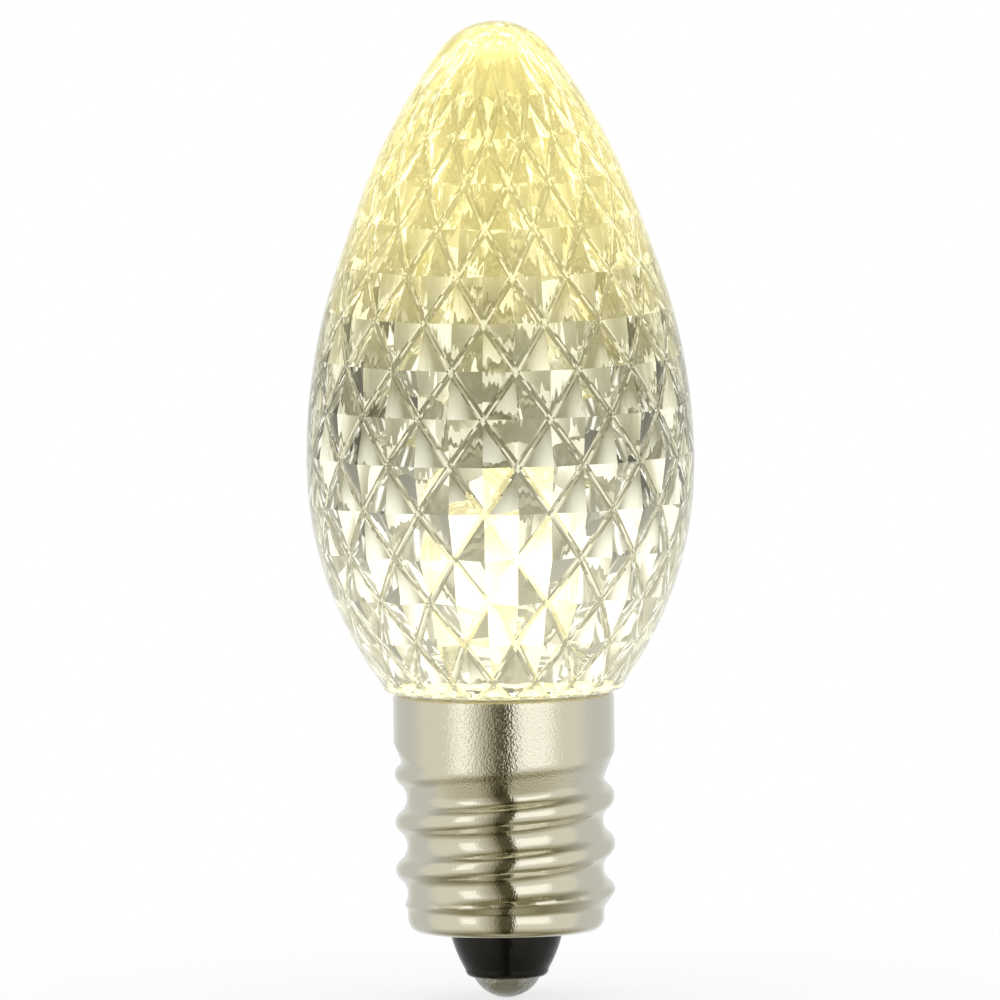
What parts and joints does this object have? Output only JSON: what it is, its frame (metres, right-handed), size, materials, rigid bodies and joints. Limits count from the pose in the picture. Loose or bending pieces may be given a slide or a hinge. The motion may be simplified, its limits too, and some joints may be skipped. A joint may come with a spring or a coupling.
{
  "type": "faceted led string light bulb",
  "caption": "Faceted clear teardrop string light bulb with a light emitting source inside, on a small screw base with a bottom contact.",
  "frame": {"origin": "on the lamp's axis, in the plane of the screw shell's top rim, where the clear shell starts", "axes": "+Z along the lamp's axis from the base to the tip, -Y towards the viewer of the picture, +X to the viewer's right"},
  "size_m": [0.0206, 0.0206, 0.052],
  "materials": {
    "clear_shell": "clear, polished, faceted on the inside",
    "nickel_plate": "bright nickel plate on pressed sheet",
    "clear_cement": "cured adhesive",
    "black_insulator": "black, moulded, glossy",
    "tinned_eyelet": "pressed and tinned",
    "solder": "dull, slightly rough solder",
    "circuit_board": "pale laminate",
    "led_epoxy": "clear, polished",
    "tinned_lead": "tinned wire and strip",
    "led_chip": "semiconductor chip",
    "gold_wire": "fine gold wire",
    "led_phosphor": "yellow phosphor, lit warm white",
    "resistor_body": "dipped, plain tan",
    "diode_body": "moulded, black"
  },
  "bodies": {
    "root": {"faceted_shell": "clear_shell", "screw_shell": "nickel_plate", "neck_cement": "clear_cement", "base_insulator": "black_insulator", "centre_contact": "tinned_eyelet", "contact_solder": "solder", "circuit_board": "circuit_board", "board_solder": "solder", "led_lens": "led_epoxy", "led_cathode_frame": "tinned_lead", "led_anode_frame": "tinned_lead", "led_chip": "led_chip", "led_bond_wire": "gold_wire", "led_phosphor": "led_phosphor", "dropper_resistor": "resistor_body", "resistor_leads": "tinned_lead", "rectifier_diode": "diode_body", "diode_leads": "tinned_lead", "side_solder": "solder"}
  },
  "joints": []
}
